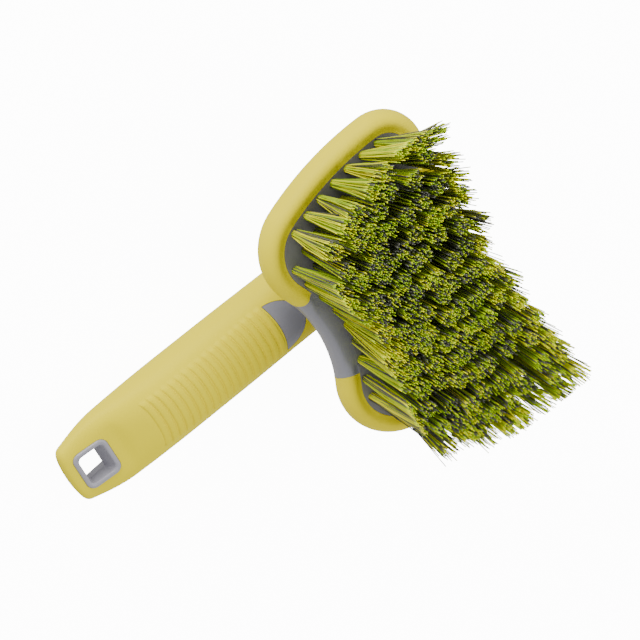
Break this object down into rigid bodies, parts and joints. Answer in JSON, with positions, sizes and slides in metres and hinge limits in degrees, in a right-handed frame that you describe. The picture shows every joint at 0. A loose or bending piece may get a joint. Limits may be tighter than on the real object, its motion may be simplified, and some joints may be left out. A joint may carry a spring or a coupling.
{
  "type": "hand-held scrubbing brush",
  "caption": "Hand-held scrubbing brush: a flared T-shaped head with a soft bumper and splayed tufts, on a soft ribbed grip with a square hanging eyelet.",
  "frame": {"origin": "on the ground under the middle of the part's length and width, with the brush lying on its back", "axes": "+Z the way the bristles point, +Y from the tail of the handle to the front of the head, X across the head"},
  "size_m": [0.1462, 0.2038, 0.1],
  "materials": {
    "core_grey": "satin grey moulded polypropylene",
    "soft_yellow": "matte lemon-yellow soft-touch rubber",
    "eyelet_grey": "satin pale grey moulded plastic",
    "bristle": "lime-green and dark grey filaments, cut square"
  },
  "bodies": {
    "root": {"core_moulding": "core_grey", "grip_sleeve": "soft_yellow", "head_bumper": "soft_yellow", "hang_eyelet": "eyelet_grey", "tuft_row_1": "bristle", "tuft_row_2": "bristle", "tuft_row_3": "bristle", "tuft_row_4": "bristle", "tuft_row_5": "bristle", "tuft_row_6": "bristle", "tuft_row_7": "bristle", "tuft_row_8": "bristle", "tuft_row_9": "bristle"}
  },
  "joints": []
}
